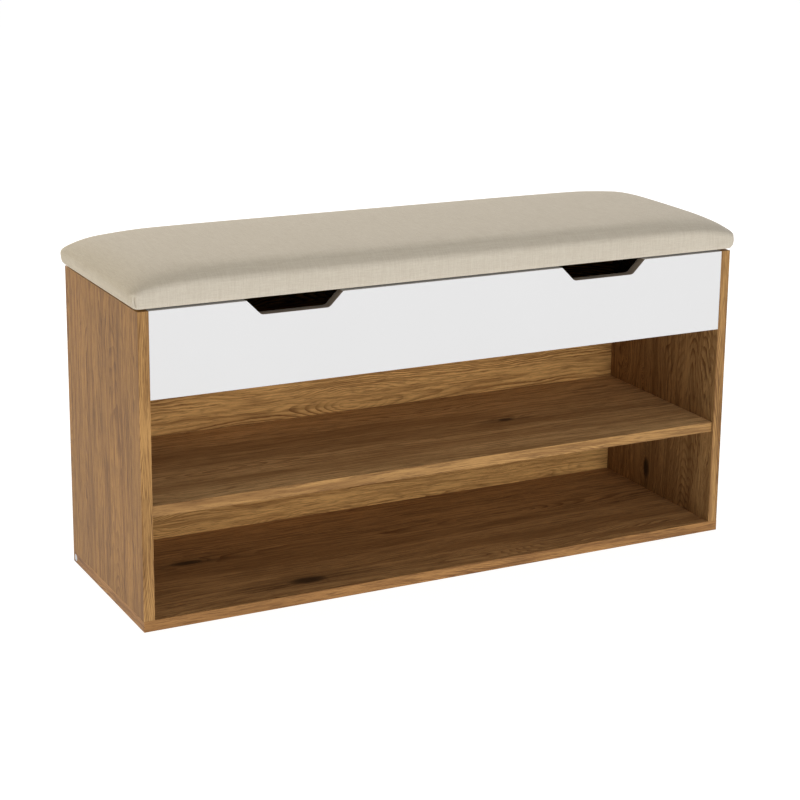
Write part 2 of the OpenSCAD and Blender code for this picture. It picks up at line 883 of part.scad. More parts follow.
module lid_staples() {
    run_x = 2 * (seat_x - 3 * staple_inset);
    run_y = seat_y1 - seat_y0 - 6 * staple_inset;
    mid_y = (seat_y0 + seat_y1) / 2;
    clear_of_hinge = hinge_w / 2 + staple_w;
    clear_of_stay = stay_flange_len / 2 + staple_w;
    color(zinc) {
        for (x = spaced(run_x, staple_pitch)) {
            translate([x, seat_y0 + staple_inset, 0]) staple();
            if (abs(abs(x) - hinge_x) > clear_of_hinge) {
                translate([x, seat_y1 - staple_inset, 0]) staple();
            }
        }
        for (y = spaced(run_y, staple_pitch), side = [-1, 1]) {
            if (abs(mid_y + y - stay_up_y) > clear_of_stay) {
                translate([side * (seat_x - staple_end_inset), mid_y + y, 0]) rotate([0, 0, 90])
                    staple();
            }
        }
    }
}

module lid_bumpers() {
    color(rubber_grey) both_sides() for (y = [front_y + bumper_dy, rear_y - bumper_dy]) {
        rod_z(-half_w + board_t / 2, y, body_h + bumper_gap, under_z, bumper_d);
    }
}

// ---- lid stays, modelled on the left side; a layer is counted from the side panel inwards ----

// flat plate in a layer of the stay, from an outline drawn in y and z
module stay_plate(index) {
    x0 = -inner_x + index * layer;
    translate([x0, 0, 0]) rotate([90, 0, 90]) linear_extrude(arm_t) children();
}

module circle_at(y, z, d) {
    translate([y, z]) circle(d = d);
}

// outline of an arm between two pivots, with its two holes
module arm_outline(ya, za, yb, zb, hole_a, hole_b) {
    len = norm([yb - ya, zb - za]);
    turn = atan2(zb - za, yb - ya);
    difference() {
        union() {
            translate([ya, za]) circle(d = arm_w);
            translate([yb, zb]) circle(d = arm_w);
            translate([ya, za]) rotate(turn) translate([0, -arm_mid_w / 2]) square([len, arm_mid_w]);
        }
        translate([ya, za]) circle(d = hole_a);
        translate([yb, zb]) circle(d = hole_b);
    }
}

module at_side_screws() {
    for (dy = [-1, 1]) {
        translate([-inner_x + arm_t, stay_screw_y + dy * stay_screw_dy,
                   stay_down_z - stay_plate_h * stay_screw_drop]) rotate([0, 90, 0]) children();
    }
}

module at_lid_bracket_screws() {
    x = -inner_x + 3 * layer + arm_t + stay_flange_w * flange_screw_at;
    for (dy = [-1, 1]) {
        translate([x, stay_up_y + dy * flange_screw_dy, under_z - arm_t]) rotate([180, 0, 0]) children();
    }
}

module side_bracket() {
    difference() {
        stay_plate(0) difference() {
            union() {
                circle_at(stay_down_y, stay_down_z, arm_w);
                translate([stay_down_y - stay_plate_w * stay_plate_ahead, stay_down_z - stay_plate_h])
                    square([stay_plate_w, stay_plate_h * stay_plate_foot]);
                translate([stay_down_y - arm_w / 2, stay_down_z - stay_plate_h / 2])
                    square([arm_w, stay_plate_h / 2]);
            }
            circle_at(stay_down_y, stay_down_z, rivet_d);
        }
        at_side_screws() small_screw_hole(arm_t);
    }
}

module lower_arm() {
    stay_plate(1) arm_outline(stay_down_y, stay_down_z, elbow_y, elbow_z, rivet_d + 2 * pivot_gap, rivet_d);
}

module upper_arm() {
    stay_plate(2) arm_outline(stay_up_y, stay_up_z, elbow_y, elbow_z, rivet_d + 2 * pivot_gap,
                              rivet_d + 2 * open_pivot_gap);
}

module lid_bracket() {
    x1 = -inner_x + 3 * layer + arm_t;
    difference() {
        union() {
            stay_plate(3) difference() {
                union() {
                    circle_at(stay_up_y, stay_up_z, arm_w);
                    translate([stay_up_y - arm_w / 2, stay_up_z]) square([arm_w, under_z - stay_up_z]);
                    translate([stay_up_y - stay_flange_len / 2, under_z - arm_t])
                        square([stay_flange_len, arm_t]);
                }
                circle_at(stay_up_y, stay_up_z, rivet_d);
            }
            block([x1 - eps, stay_up_y - stay_flange_len / 2, under_z - arm_t],
                  [x1 + stay_flange_w, stay_up_y + stay_flange_len / 2, under_z]);
        }
        at_lid_bracket_screws() small_screw_hole(arm_t);
    }
}

// a rivet through the layers from first to last, with heads where they are asked for
module rivet(y, z, first, last, head_out, head_in) {
    x0 = -inner_x + first * layer;
    x1 = -inner_x + last * layer + arm_t;
    play = layer_gap / 3;
    rod_x(head_out ? x0 - play : x0, x1 + play, y, z, rivet_d);
    if (head_out) {
        rod_x(x0 - play - rivet_head_t, x0 - play, y, z, rivet_head_d);
    }
    if (head_in) {
        rod_x(x1 + play, x1 + play + rivet_head_t, y, z, rivet_head_d);
    }
}

module side_rivet() {
    rivet(stay_down_y, stay_down_z, 0, 1, false, true);
}

module elbow_rivet() {
    rivet(elbow_y, elbow_z, 1, 2, true, true);
}

module lid_rivet() {
    rivet(stay_up_y, stay_up_z, 2, 3, true, true);
}

module left_stay_side_bracket() {
    color(zinc) side_bracket();
}

module left_stay_lower_arm() {
    color(zinc) lower_arm();
}

module left_stay_upper_arm() {
    color(zinc) upper_arm();
}

module left_stay_lid_bracket() {
    color(zinc) lid_bracket();
}

module left_stay_side_rivet() {
    color(zinc) side_rivet();
}

module left_stay_elbow_rivet() {
    color(zinc) elbow_rivet();
}

module left_stay_lid_rivet() {
    color(zinc) lid_rivet();
}

module right_stay_side_bracket() {
    color(zinc) mirrored() side_bracket();
}

module right_stay_lower_arm() {
    color(zinc) mirrored() lower_arm();
}

module right_stay_upper_arm() {
    color(zinc) mirrored() upper_arm();
}

module right_stay_lid_bracket() {
    color(zinc) mirrored() lid_bracket();
}

module right_stay_side_rivet() {
    color(zinc) mirrored() side_rivet();
}

module right_stay_elbow_rivet() {
    color(zinc) mirrored() elbow_rivet();
}

module right_stay_lid_rivet() {
    color(zinc) mirrored() lid_rivet();
}

module stay_side_screws() {
    color(zinc) both_sides() at_side_screws() small_screw(arm_t);
}

module stay_lid_screws() {
    color(zinc) both_sides() at_lid_bracket_screws() small_screw(arm_t);
}

bottom_panel();
bottom_edge_bands();
left_side_panel();
right_side_panel();
left_side_bands();
right_side_bands();
middle_shelf();
shelf_front_band();
shelf_pins();
compartment_floor();
front_panel();
rear_rail();
back_panel();
cam_locks();
cam_bolts();
dowels();
bottom_screws();
end_plugs();
left_hinge_body_leaf();
left_hinge_lid_leaf();
left_hinge_pin();
right_hinge_body_leaf();
right_hinge_lid_leaf();
right_hinge_pin();
hinge_body_screws();
hinge_lid_screws();
lid_board();
seat_foam();
seat_cover();
lid_lining();
lid_staples();
lid_bumpers();
left_stay_side_bracket();
left_stay_lower_arm();
left_stay_upper_arm();
left_stay_lid_bracket();
left_stay_side_rivet();
left_stay_elbow_rivet();
left_stay_lid_rivet();
right_stay_side_bracket();
right_stay_lower_arm();
right_stay_upper_arm();
right_stay_lid_bracket();
right_stay_side_rivet();
right_stay_elbow_rivet();
right_stay_lid_rivet();
stay_side_screws();
stay_lid_screws();
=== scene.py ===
"""Entryway storage bench: oak-decor carcass, white front panel, linen seat on a hinged lid.

Everything is in metres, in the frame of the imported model: X along the bench, Y to the rear, Z up.
"""

import math

import bpy
import numpy as np
from mathutils import Matrix, Vector


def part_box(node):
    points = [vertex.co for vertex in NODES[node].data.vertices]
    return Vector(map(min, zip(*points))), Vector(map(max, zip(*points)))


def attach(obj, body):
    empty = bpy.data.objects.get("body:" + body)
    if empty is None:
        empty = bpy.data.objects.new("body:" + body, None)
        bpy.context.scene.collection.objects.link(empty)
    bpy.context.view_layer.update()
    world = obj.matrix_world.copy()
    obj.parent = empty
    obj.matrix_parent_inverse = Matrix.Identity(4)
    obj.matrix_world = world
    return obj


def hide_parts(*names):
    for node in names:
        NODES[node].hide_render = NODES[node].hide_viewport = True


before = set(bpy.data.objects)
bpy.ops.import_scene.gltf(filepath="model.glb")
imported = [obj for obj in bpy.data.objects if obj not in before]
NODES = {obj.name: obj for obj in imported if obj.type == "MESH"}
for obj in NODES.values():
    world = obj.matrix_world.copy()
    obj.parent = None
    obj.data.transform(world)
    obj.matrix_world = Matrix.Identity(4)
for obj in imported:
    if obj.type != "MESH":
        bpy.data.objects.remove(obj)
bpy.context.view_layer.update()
WHITE = (1.0, 1.0, 1.0)


# ---------------------------------------------------------------- camera

def add_camera():
    """The photograph's view: from the front left, a little above the seat."""
    yaw, pitch, roll = math.radians(28.612), math.radians(-14.442), math.radians(1.05)
    forward = Vector((math.sin(yaw) * math.cos(pitch),
                      math.cos(yaw) * math.cos(pitch), math.sin(pitch)))
    level = Vector((math.cos(yaw), -math.sin(yaw), 0.0))
    upright = level.cross(forward)
    right = math.cos(roll) * level + math.sin(roll) * upright
    up = math.cos(roll) * upright - math.sin(roll) * level
    data = bpy.data.cameras.new("camera")
    data.lens = 92.31
    data.sensor_width = 36.0
    data.shift_x = -0.0794
    data.shift_y = -0.0902
    data.clip_end = 200.0
    camera = bpy.data.objects.new("camera", data)
    basis = Matrix((right, up, -forward)).transposed().to_4x4()
    camera.matrix_world = Matrix.Translation((-1.2779, -2.5111, 1.0531)) @ basis
    bpy.context.scene.collection.objects.link(camera)
    bpy.context.scene.camera = camera


# ---------------------------------------------------------------- studio

def area_light(name, place, target, size, power, color=WHITE):
    data = bpy.data.lights.new(name, "AREA")
    data.shape = "RECTANGLE"
    data.size, data.size_y = size
    data.energy = power
    data.color = color
    light = bpy.data.objects.new(name, data)
    light.location = place
    light.rotation_euler = (Vector(target) - Vector(place)).to_track_quat("-Z", "Y").to_euler()
    bpy.context.scene.collection.objects.link(light)


def add_studio():
    """A pale floor that runs past the picture, a white surround, and four soft lights.

    The surround is full white only where the camera sees it, and lights the bench at a third of that.
    """
    world = bpy.data.worlds.new("surround")
    bpy.context.scene.world = world
    world.use_nodes = True
    tree = world.node_tree
    fill = tree.nodes["Background"]
    fill.inputs["Color"].default_value = (*WHITE, 1.0)
    fill.inputs["Strength"].default_value = 0.34
    backdrop = tree.nodes.new("ShaderNodeBackground")
    backdrop.inputs["Color"].default_value = (*WHITE, 1.0)
    choose = tree.nodes.new("ShaderNodeMixShader")
    rays = tree.nodes.new("ShaderNodeLightPath")
    tree.links.new(rays.outputs["Is Camera Ray"], choose.inputs["Fac"])
    tree.links.new(fill.outputs["Background"], choose.inputs[1])
    tree.links.new(backdrop.outputs["Background"], choose.inputs[2])
    tree.links.new(choose.outputs["Shader"], tree.nodes["World Output"].inputs["Surface"])

    reach = 30.0
    square = [(-reach, -reach, 0), (reach, -reach, 0), (reach, reach, 0), (-reach, reach, 0)]
    mesh = bpy.data.meshes.new("floor")
    mesh.from_pydata(square, [], [(0, 1, 2, 3)])
    floor = bpy.data.objects.new("floor", mesh)
    bpy.context.scene.collection.objects.link(floor)
    material = bpy.data.materials.new("floor_white")
    material.use_nodes = True
    shader = material.node_tree.nodes["Principled BSDF"]
    shader.inputs["Base Color"].default_value = (0.3, 0.3, 0.3, 1.0)
    shader.inputs["Roughness"].default_value = 0.9
    shader.inputs["Specular IOR Level"].default_value = 0.0
    shader.inputs["Emission Color"].default_value = (*WHITE, 1.0)
    shader.inputs["Emission Strength"].default_value = 0.90
    mesh.materials.append(material)

    area_light("front_softbox", (0.45, -4.8, 1.30), (0.0, 0.0, 0.25), (0.9, 0.7), 64.5)
    area_light("high_softbox", (-0.3, -3.0, 3.3), (0.0, 0.0, 0.3), (1.4, 1.0), 7.0)
    area_light("rear_softbox", (0.1, 3.4, 2.4), (0.0, 0.0, 0.45), (3.2, 1.0), 131.0,
               color=(1.0, 0.97, 0.95))
    area_light("left_softbox", (-3.0, 0.2, 1.9), (-0.4, 0.0, 0.4), (1.2, 0.8), 11.5,
               color=(1.0, 0.72, 0.10))
    bpy.context.scene.view_settings.view_transform = "Standard"


# ---------------------------------------------------------------- node helpers

class Graph:
    """Short calls that build one material's nodes."""

    def __init__(self, name):
        self.material = bpy.data.materials.new(name)
        self.material.use_nodes = True
        self.tree = self.material.node_tree
        self.shader = self.tree.nodes["Principled BSDF"]
        place = self.tree.nodes.new("ShaderNodeTexCoord")
        split = self.tree.nodes.new("ShaderNodeSeparateXYZ")
        self.tree.links.new(place.outputs["Object"], split.inputs[0])
        self.place = place.outputs["Object"]
        self.x, self.y, self.z = split.outputs

    def put(self, socket, value):
        if isinstance(value, bpy.types.NodeSocket):
            self.tree.links.new(value, socket)
        else:
            socket.default_value = value

    def math(self, operation, a, b=0.0):
        node = self.tree.nodes.new("ShaderNodeMath")
        node.operation = operation
        for socket, value in zip(node.inputs, (a, b)):
            self.put(socket, value)
        return node.outputs[0]

    def add(self, a, b):
        return self.math("ADD", a, b)

    def sub(self, a, b):
        return self.math("SUBTRACT", a, b)

    def mul(self, a, b):
        return self.math("MULTIPLY", a, b)

    def above(self, a, b):
        """1 where a is more than b, else 0."""
        return self.math("GREATER_THAN", a, b)

    def step_up(self, value, low, high):
        """0 below low, 1 above high, smooth between."""
        node = self.tree.nodes.new("ShaderNodeMapRange")
        node.interpolation_type = "SMOOTHSTEP"
        self.put(node.inputs["Value"], value)
        node.inputs["From Min"].default_value = low
        node.inputs["From Max"].default_value = high
        return node.outputs[0]

    def spread(self, value, low, high):
        """A 0..1 value spread to low..high."""
        node = self.tree.nodes.new("ShaderNodeMapRange")
        self.put(node.inputs["Value"], value)
        node.inputs["To Min"].default_value = low
        node.inputs["To Max"].default_value = high
        return node.outputs[0]

    def vector(self, x, y, z):
        node = self.tree.nodes.new("ShaderNodeCombineXYZ")
        for socket, value in zip(node.inputs, (x, y, z)):
            self.put(socket, value)
        return node.outputs[0]

    def noise(self, vector, scale=1.0, detail=2.0, roughness=0.5):
        node = self.tree.nodes.new("ShaderNodeTexNoise")
        self.put(node.inputs["Vector"], vector)
        node.inputs["Scale"].default_value = scale
        node.inputs["Detail"].default_value = detail
        node.inputs["Roughness"].default_value = roughness
        return node.outputs[0]

    def mix(self, factor, a, b, blend="MIX"):
        """Colours a and b; a plain colour is three numbers."""
        node = self.tree.nodes.new("ShaderNodeMix")
        node.data_type = "RGBA"
        node.blend_type = blend
        self.put(node.inputs[0], factor)
        for socket, value in ((node.inputs[6], a), (node.inputs[7], b)):
            self.put(socket, value if isinstance(value, bpy.types.NodeSocket) else (*value, 1.0))
        return node.outputs[2]

    def times(self, color, by):
        """A colour multiplied by another, or by one value."""
        if isinstance(by, bpy.types.NodeSocket):
            by = self.vector(by, by, by)
        return self.mix(1.0, color, by, blend="MULTIPLY")

    def bump(self, height, distance, strength):
        node = self.tree.nodes.new("ShaderNodeBump")
        self.put(node.inputs["Height"], height)
        node.inputs["Distance"].default_value = distance
        node.inputs["Strength"].default_value = strength
        self.tree.links.new(node.outputs[0], self.shader.inputs["Normal"])

    def set(self, **values):
        names = {"color": "Base Color", "roughness": "Roughness", "metallic": "Metallic",
                 "specular": "Specular IOR Level", "sheen": "Sheen Weight",
                 "sheen_roughness": "Sheen Roughness"}
        for key, value in values.items():
            if isinstance(value, tuple):
                value = (*value, 1.0)
            self.put(self.shader.inputs[names[key]], value)


def srgb(r, g, b):
    """An 8-bit display colour as linear values."""
    def one(v):
        v /= 255.0
        return v / 12.92 if v <= 0.04045 else ((v + 0.055) / 1.055) ** 2.4
    return one(r), one(g), one(b)


# ---------------------------------------------------------------- wood

OAK_LIGHT = srgb(198, 151, 92)
OAK_DARK = srgb(124, 83, 41)
OAK_PORE = srgb(76, 45, 20)
KNOT = srgb(38, 22, 12)
UNVARNISHED = (0.62, 0.62, 0.66)
SKIN = 0.0002                  # a face is told from the board behind it by this depth


def oak(name, along, across, centre=0.0, start=0.0, bend=0.012, oval=0.0, reach=0.06, rings=300.0, seed=0.0,
        tint=WHITE, lines=1.0, wave=1.0, knots=(), dull_past=None, turn_past=None, rear_edge=None):
    """Oak decor. along and across name the grain's axes.

    The growth rings, so many to the metre, are contours of one form: bend makes arches that point up
    the grain from start, on the line across = centre; oval makes nested ovals about that point, as far
    as reach along the grain, past which the lines run straight. lines is how dark the rings are, and
    wave how far they wander. A knot is (along, across, size, how many times longer than wide).
    The face past the depth dull_past is the duller, unvarnished one. Further out along the grain than
    turn_past, on strips that go round the ends, the grain runs with the strip. On the board's rear edge,
    past rear_edge across the grain, the lines run along the edge.
    """
    g = Graph(name)
    axes = {"x": g.x, "y": g.y, "z": g.z}
    depth = axes[({"x", "y", "z"} - {along, across}).pop()]
    length, width = axes[along], axes[across]

    def exchange(where, a, b):
        """a and b, which change places on the part of the surface where the first value is 1."""
        step = g.mul(where, g.sub(b, a))
        return g.add(a, step), g.sub(b, step)

    if turn_past is not None:
        length, depth = exchange(g.above(g.math("ABSOLUTE", length), turn_past), length, depth)
    if rear_edge is not None:
        width, depth = exchange(g.above(width, rear_edge - SKIN), width, depth)
    far_along = g.add(length, seed)
    face = g.add(g.mul(depth, 0.6), seed)

    def patches(per_length, per_width, place, through=False, detail=2.0, roughness=0.5):
        """Noise with so many cells to the metre along the grain and across it.

        With through, it has as many through the board as across it.
        """
        third = g.mul(depth, per_width) if through else face
        vector = g.vector(g.mul(far_along, per_length), g.mul(place, per_width), third)
        return g.noise(vector, detail=detail, roughness=roughness)

    # the rings wander in long swings and short ripples
    sway = g.mul(g.sub(patches(3.2, 13.0, width), 0.5), 0.060 * wave)
    ripple = g.mul(g.sub(patches(26.0, 75.0, width, detail=3.0, roughness=0.6), 0.5), 0.012 * wave)
    off = g.add(g.sub(width, centre), g.add(sway, ripple))

    run = g.sub(length, start)
    hollow = 0.008
    near = g.mul(g.math("TANH", g.mul(run, 1.0 / reach)), reach * oval)
    squares = g.add(g.mul(off, off), g.add(g.mul(run, bend), g.mul(near, near)))
    ring = g.math("SQRT", g.math("MAXIMUM", g.add(squares, hollow * hollow), 0.0))
    hearts, halos = [], []
    for at_length, at_width, size, slim in knots:
        dl = g.sub(length, at_length)
        dw = g.add(g.sub(width, at_width), g.mul(ripple, 0.35))
        squared = g.add(g.math("POWER", g.mul(dl, 1.0 / slim), 2.0), g.mul(dw, dw))
        push = g.math("DIVIDE", size * size, g.add(squared, size * size))
        ring = g.add(ring, g.mul(push, size * 1.5))
        hearts.append(g.sub(1.0, g.step_up(squared, (0.25 * size) ** 2, (0.85 * size) ** 2)))
        longer = g.add(g.math("POWER", g.mul(dl, 0.5 / slim), 2.0), g.mul(dw, dw))
        halos.append(g.sub(1.0, g.step_up(longer, (0.3 * size) ** 2, (1.7 * size) ** 2)))

    # late wood darkens slowly through each ring and ends sharply
    growth = patches(4.0, 26.0, off, detail=1.0)
    saw = g.math("FRACT", g.mul(ring, g.spread(growth, 0.75 * rings, 1.25 * rings)))
    late = g.mul(g.step_up(saw, 0.35, 0.92), g.sub(1.0, g.step_up(saw, 0.92, 1.0)))
    late = g.mul(late, g.spread(g.step_up(patches(5.0, 42.0, off), 0.30, 0.68), 0.15, 1.15))

    # fibres at three widths, all much longer than they are wide
    coarse = patches(9.0, 210.0, off, through=True)
    fibre = patches(34.0, 560.0, off, through=True, detail=3.0, roughness=0.65)
    pores = patches(90.0, 1800.0, off, through=True)
    pore = g.mul(g.step_up(pores, 0.54, 0.70), g.spread(late, 0.4, 1.0))
    streak = patches(1.1, 24.0, off)
    cloud = patches(3.5, 9.0, off)

    color = g.mix(g.mul(late, 0.85 * lines), OAK_LIGHT, OAK_DARK)
    color = g.mix(g.mul(g.step_up(coarse, 0.42, 0.66), 0.55), color, OAK_DARK)
    color = g.mix(g.mul(g.step_up(fibre, 0.46, 0.68), 0.50), color, OAK_PORE)
    color = g.mix(g.mul(g.step_up(streak, 0.50, 0.68), 0.45), color, OAK_DARK)
    color = g.mix(g.mul(pore, 0.35), color, OAK_PORE)
    color = g.times(color, g.spread(cloud, 0.80, 1.22))
    for heart, halo in zip(hearts, halos):
        grainy = g.mul(halo, g.spread(coarse, 0.0, 0.9))
        color = g.mix(g.mul(grainy, 0.85), color, tuple(0.7 * c for c in OAK_PORE))
        color = g.mix(g.mul(heart, 0.88), color, KNOT)
    color = g.times(color, tint)
    if dull_past is not None:
        color = g.mix(g.above(depth, dull_past), color, g.times(color, UNVARNISHED))
    rough = g.spread(g.add(g.mul(pore, 0.6), g.mul(fibre, 0.4)), 0.50, 0.70)
    g.set(color=color, roughness=rough, specular=0.22)
    g.bump(g.sub(g.mul(fibre, 0.4), pore), 0.00012, 0.6)
    return g.material


def give(material, *names):
    """Puts a material on the named CAD nodes."""
    for name in names:
        slots = NODES[name].data.materials
        slots.clear()
        slots.append(material)


def add_wood():
    band = (0.88, 0.88, 0.86)

    def far_corner(node):
        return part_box(node)[1]

    # painted shade: this tint darkens and warms the oak to offset the extra light that falls on the left
    # outer side
    give(oak("oak_left_side", "z", "y", centre=-0.050, start=-0.10, bend=0.013, seed=0.3,
             tint=(0.76, 0.70, 0.52), lines=0.65, wave=0.45,
             rear_edge=far_corner("left_side_panel").y), "left_side_panel")
    give(oak("oak_right_side", "z", "y", centre=-0.082, start=-0.05, bend=0.014, rings=360.0, seed=1.7,
             tint=(0.81, 0.86, 0.98), knots=((0.049, 0.026, 0.011, 2.2),),
             rear_edge=far_corner("right_side_panel").y), "right_side_panel")
    give(oak("oak_left_bands", "z", "x", centre=-0.40, rings=420.0, seed=2.1, wave=0.25, tint=band),
         "left_side_bands")
    give(oak("oak_right_bands", "z", "x", centre=0.40, rings=420.0, seed=2.9, wave=0.25, tint=band),
         "right_side_bands")
    # painted fill light: this tint brightens and cools the oak, standing in for light that barely reaches
    # the shelf top inside the bays
    give(oak("oak_shelf", "x", "y", centre=-0.045, start=-0.31, bend=0.0, oval=0.22, reach=0.09, seed=3.3,
             tint=(1.24, 1.45, 1.92), lines=0.80, wave=0.5, knots=((0.164, -0.003, 0.0085, 2.2),)),
         "middle_shelf")
    give(oak("oak_shelf_band", "x", "z", centre=0.10, rings=420.0, seed=4.1, lines=0.6, wave=0.25,
             tint=band), "shelf_front_band")
    give(oak("oak_bottom", "x", "y", centre=0.025, start=0.17, bend=0.0, oval=0.24, reach=0.10,
             rings=330.0, seed=5.2, tint=(0.90, 0.94, 1.12), wave=0.6,
             knots=((-0.199, -0.102, 0.017, 2.4), (-0.324, 0.030, 0.010, 3.6)),
             rear_edge=far_corner("bottom_panel").y), "bottom_panel")
    give(oak("oak_bottom_band", "x", "z", centre=-0.06, rings=420.0, seed=6.4, tint=(0.85, 0.78, 0.72),
             wave=0.25, turn_past=far_corner("bottom_panel").x - SKIN), "bottom_edge_bands")
    give(oak("oak_floor", "x", "y", centre=0.02, start=-0.1, oval=0.08, bend=0.0, rings=190.0, seed=7.7),
         "compartment_floor")
    give(oak("oak_rail", "x", "z", centre=0.36, seed=8.3, wave=0.4), "rear_rail")
    # painted fill light: this tint brightens the oak about 1.4 times, standing in for light that the bays
    # keep from the back panel
    give(oak("oak_back", "x", "z", centre=0.182, start=-0.023, bend=0.0, oval=0.32, reach=0.07,
             rings=400.0, seed=9.1, tint=(1.40, 1.48, 1.46), lines=1.1, wave=0.45,
             dull_past=sum(corner.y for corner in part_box("back_panel")) / 2), "back_panel")


# ---------------------------------------------------------------- other materials

def white_board():
    """Satin white face, with grey-brown painted shade on the white cut faces inside the finger notches."""
    g = Graph("white_board")
    notch_x, notch_half, notch_deep = 0.235, 0.0695, 0.0215
    lo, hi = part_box("front_panel")
    skin = 0.0003
    off = g.math("ABSOLUTE", g.sub(g.math("ABSOLUTE", g.x), notch_x))
    in_notch = g.above(notch_half, off)
    behind = g.above(g.y, lo.y + skin)
    ahead = g.above(hi.y - skin, g.y)
    high = g.above(g.z, hi.z - notch_deep)
    below = g.above(hi.z - skin, g.z)
    cut = g.mul(g.mul(in_notch, behind), g.mul(g.mul(ahead, high), below))
    peel = g.noise(g.place, scale=900.0, detail=1.0)
    cloud = g.noise(g.place, scale=6.0, detail=2.0)
    grit = g.noise(g.place, scale=1600.0, detail=2.0)
    face = g.mix(cloud, (0.765, 0.765, 0.77), (0.785, 0.785, 0.79))
    # painted shade: the white cut inside each notch, coloured as it looks shaded by the seat above and
    # warmed by the cushion's bounce
    notch_shade = g.mix(grit, srgb(128, 114, 100), srgb(168, 154, 138))
    g.set(color=g.mix(cut, face, notch_shade), roughness=g.spread(peel, 0.30, 0.40), specular=0.5)
    g.bump(peel, 0.00004, 0.35)
    return g.material


def linen(name, light, dark):
    """Plain linen weave: crossed threads of uneven thickness and tone, with slubs."""
    g = Graph(name)
    thread = 0.00075
    turns = 2.0 * math.pi / thread
    uneven = g.mul(g.sub(g.noise(g.place, scale=220.0), 0.5), thread * 1.6)
    side = g.add(g.y, g.mul(g.z, 0.9))
    warp = g.math("SINE", g.mul(g.add(g.x, uneven), turns))
    weft = g.math("SINE", g.mul(g.add(side, uneven), turns))
    warp_on_top = g.step_up(g.math("SINE", g.mul(g.sub(g.x, side), turns * 0.5)), -0.4, 0.4)
    weave = g.add(g.mul(warp, warp_on_top), g.mul(weft, g.sub(1.0, warp_on_top)))
    fine, long = 900.0, 45.0
    warp_slub = g.noise(g.vector(g.mul(g.x, fine), g.mul(g.y, long), g.mul(g.z, long)), roughness=0.6)
    weft_slub = g.noise(g.vector(g.mul(g.x, long), g.mul(g.y, fine), g.mul(g.z, fine)), roughness=0.6)
    fleck = g.noise(g.place, scale=700.0, detail=3.0, roughness=0.7)
    slub = g.add(g.mul(warp_slub, 0.5), g.mul(weft_slub, 0.5))
    tone = g.add(g.mul(slub, 0.7), g.mul(fleck, 0.3))
    color = g.mix(g.step_up(tone, 0.36, 0.64), dark, light)
    color = g.times(color, g.spread(weave, 0.93, 1.03))
    g.set(color=color, roughness=0.92, specular=0.15, sheen=0.12, sheen_roughness=0.5)
    g.bump(g.add(g.mul(weave, 0.5), g.mul(slub, 1.4)), 0.0003, 0.55)
    return g.material


def zinc_plate():
    """Bright plated steel with a faint brushed grain and a hazy shine."""
    g = Graph("zinc_plate")
    haze = g.noise(g.place, scale=400.0, detail=3.0)
    brushed = g.noise(g.vector(g.mul(g.x, 120.0), g.mul(g.y, 2400.0), g.mul(g.z, 2400.0)))
    color = (0.62, 0.63, 0.66)
    g.set(color=g.mix(haze, color, tuple(0.8 * c for c in color)), metallic=1.0,
          roughness=g.spread(g.add(g.mul(haze, 0.5), g.mul(brushed, 0.5)), 0.26, 0.46))
    g.bump(brushed, 0.00003, 0.3)
    return g.material


def plain_wood(name, light, dark):
    """Raw plywood or beech: short flecks along x, and plies one above the other."""
    g = Graph(name)
    ply = 0.003
    grain = g.noise(g.vector(g.mul(g.x, 12.0), g.mul(g.y, 300.0), g.mul(g.z, 300.0)), detail=3.0)
    plies = g.math("SINE", g.mul(g.z, 2.0 * math.pi / ply))
    color = g.mix(g.step_up(grain, 0.35, 0.7), light, dark)
    color = g.mix(g.mul(g.step_up(plies, 0.2, 0.6), 0.25), color, dark)
    g.set(color=color, roughness=0.7, specular=0.3)
    g.bump(grain, 0.0001, 0.5)
    return g.material


def lining_cloth():
    """Black non-woven dust lining with its pattern of small bonded points."""
    g = Graph("lining_cloth")
    pitch = 0.0022
    turns = 2.0 * math.pi / pitch
    dots = g.mul(g.math("SINE", g.mul(g.x, turns)), g.math("SINE", g.mul(g.y, turns)))
    fuzz = g.noise(g.place, scale=900.0, detail=3.0, roughness=0.7)
    g.set(color=g.mix(fuzz, (0.012, 0.012, 0.013), (0.045, 0.045, 0.05)), roughness=0.95, specular=0.1)
    g.bump(g.add(g.mul(g.step_up(dots, 0.3, 0.8), -1.0), fuzz), 0.00015, 0.6)
    return g.material


def rubber():
    """Dark grey rubber with a fine grain."""
    g = Graph("rubber_grey")
    grain = g.noise(g.place, scale=1500.0, detail=2.0)
    g.set(color=g.mix(grain, (0.045, 0.045, 0.047), (0.075, 0.075, 0.078)), roughness=0.7, specular=0.3)
    g.bump(grain, 0.00005, 0.5)
    return g.material


def add_hardware_looks():
    fittings = [name for name in NODES if "hinge" in name or "stay" in name or "screws" in name]
    give(zinc_plate(), *fittings, "shelf_pins", "cam_locks", "cam_bolts", "end_plugs", "lid_staples")
    give(white_board(), "front_panel")
    give(plain_wood("plywood_raw", srgb(208, 180, 138), srgb(168, 132, 92)), "lid_board")
    give(plain_wood("beech_raw", srgb(214, 176, 132), srgb(178, 136, 92)), "dowels")
    give(lining_cloth(), "lid_lining")
    give(rubber(), "lid_bumpers")


# ---------------------------------------------------------------- seat pad

def stations(half, edge, edge_cells, flat_cells):
    """Places across the pad: even close cells near both edges, then cells that widen to the middle."""
    near = [edge * i / edge_cells for i in range(edge_cells)]
    ease = [i / flat_cells for i in range(flat_cells + 1)]
    inner = [edge + (half - edge) * (0.35 * t + 0.65 * t * t) for t in ease]
    side = near + inner
    return np.array([d - half for d in side] + [half - d for d in reversed(side[:-1])])


def soft(t):
    """0 up to t = 0, 1 from t = 1, smooth between."""
    t = min(1.0, max(0.0, t))
    return t * t * (3.0 - 2.0 * t)


